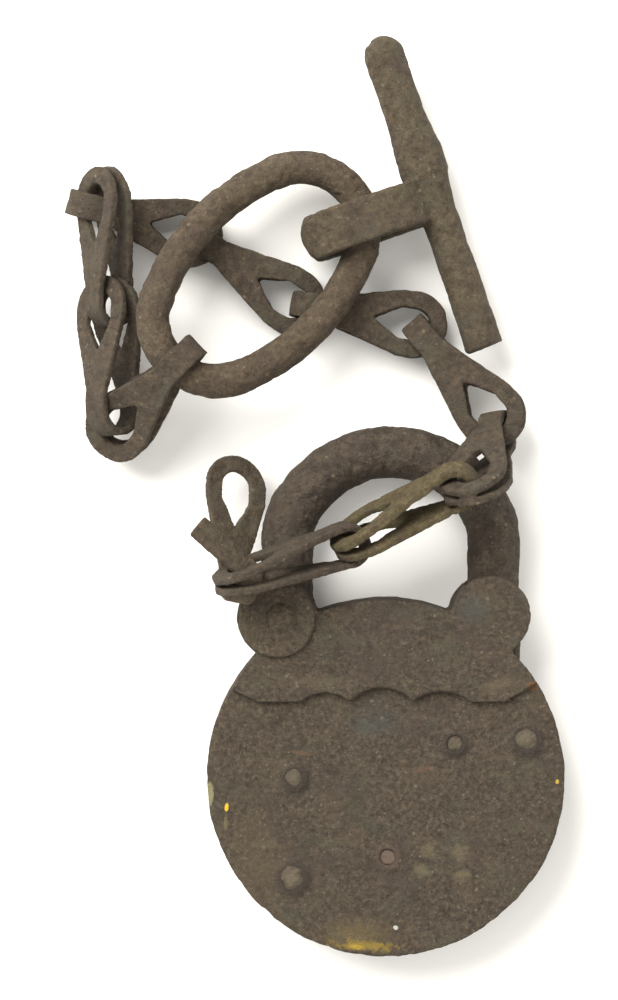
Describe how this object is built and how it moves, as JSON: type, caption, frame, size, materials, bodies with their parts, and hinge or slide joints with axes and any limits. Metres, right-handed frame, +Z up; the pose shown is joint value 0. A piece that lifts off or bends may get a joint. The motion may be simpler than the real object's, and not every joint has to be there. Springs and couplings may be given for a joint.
{
  "type": "rusty lever padlock with chain",
  "caption": "Shut riveted lever padlock with a round case, a bent-bar shackle and a folded-link chain ending in an oval ring and a toggle bar, all rusted.",
  "frame": {"origin": "centre of the round case, on its flat underside (the keyhole side)", "axes": "+Z up out of the scalloped face, +Y from the case towards the shackle's bow, +X to the right"},
  "size_m": [0.1071, 0.1964, 0.0349],
  "materials": {
    "case_rust": "matte dark brown rust with grey-green and purple-brown mottling, pitting, pale specks and a few flecks of old yellow paint",
    "rivet_rust": "matte brown rust, a little lighter on the domes",
    "shackle_rust": "matte brown rust, lighter on top, scaled",
    "ring_rust": "matte reddish-brown rust",
    "toggle_rust": "matte grey-brown rust with ochre",
    "chain_rust": "matte brown rust",
    "olive_rust": "matte olive-brown rust",
    "tan_rust": "matte tan rust",
    "inner_iron": "dull oxidised iron",
    "spring_steel": "dull oxidised spring steel"
  },
  "bodies": {
    "root": {"bottom_plate": "case_rust", "rim_band": "case_rust", "top_spacer": "case_rust", "top_plate": "case_rust", "apron_plate": "case_rust", "pivot_rivet": "rivet_rust", "pivot_washer": "rivet_rust", "key_pin": "rivet_rust", "lever_post": "rivet_rust", "spring_post": "rivet_rust", "guide_post": "rivet_rust", "stop_post": "rivet_rust", "ear_rivet": "rivet_rust", "shackle": "shackle_rust", "bolt": "inner_iron", "lever_1": "inner_iron", "lever_2": "inner_iron", "lever_3": "inner_iron", "lever_spring_1": "spring_steel", "lever_spring_2": "spring_steel", "lever_spring_3": "spring_steel", "ring": "ring_rust", "toggle_bar": "toggle_rust", "link_01": "chain_rust", "link_02": "chain_rust", "link_03": "chain_rust", "link_04": "chain_rust", "link_05": "chain_rust", "link_06": "chain_rust", "link_07": "chain_rust", "link_08": "chain_rust", "link_09": "olive_rust", "link_10": "chain_rust", "link_11": "tan_rust"}
  },
  "joints": []
}
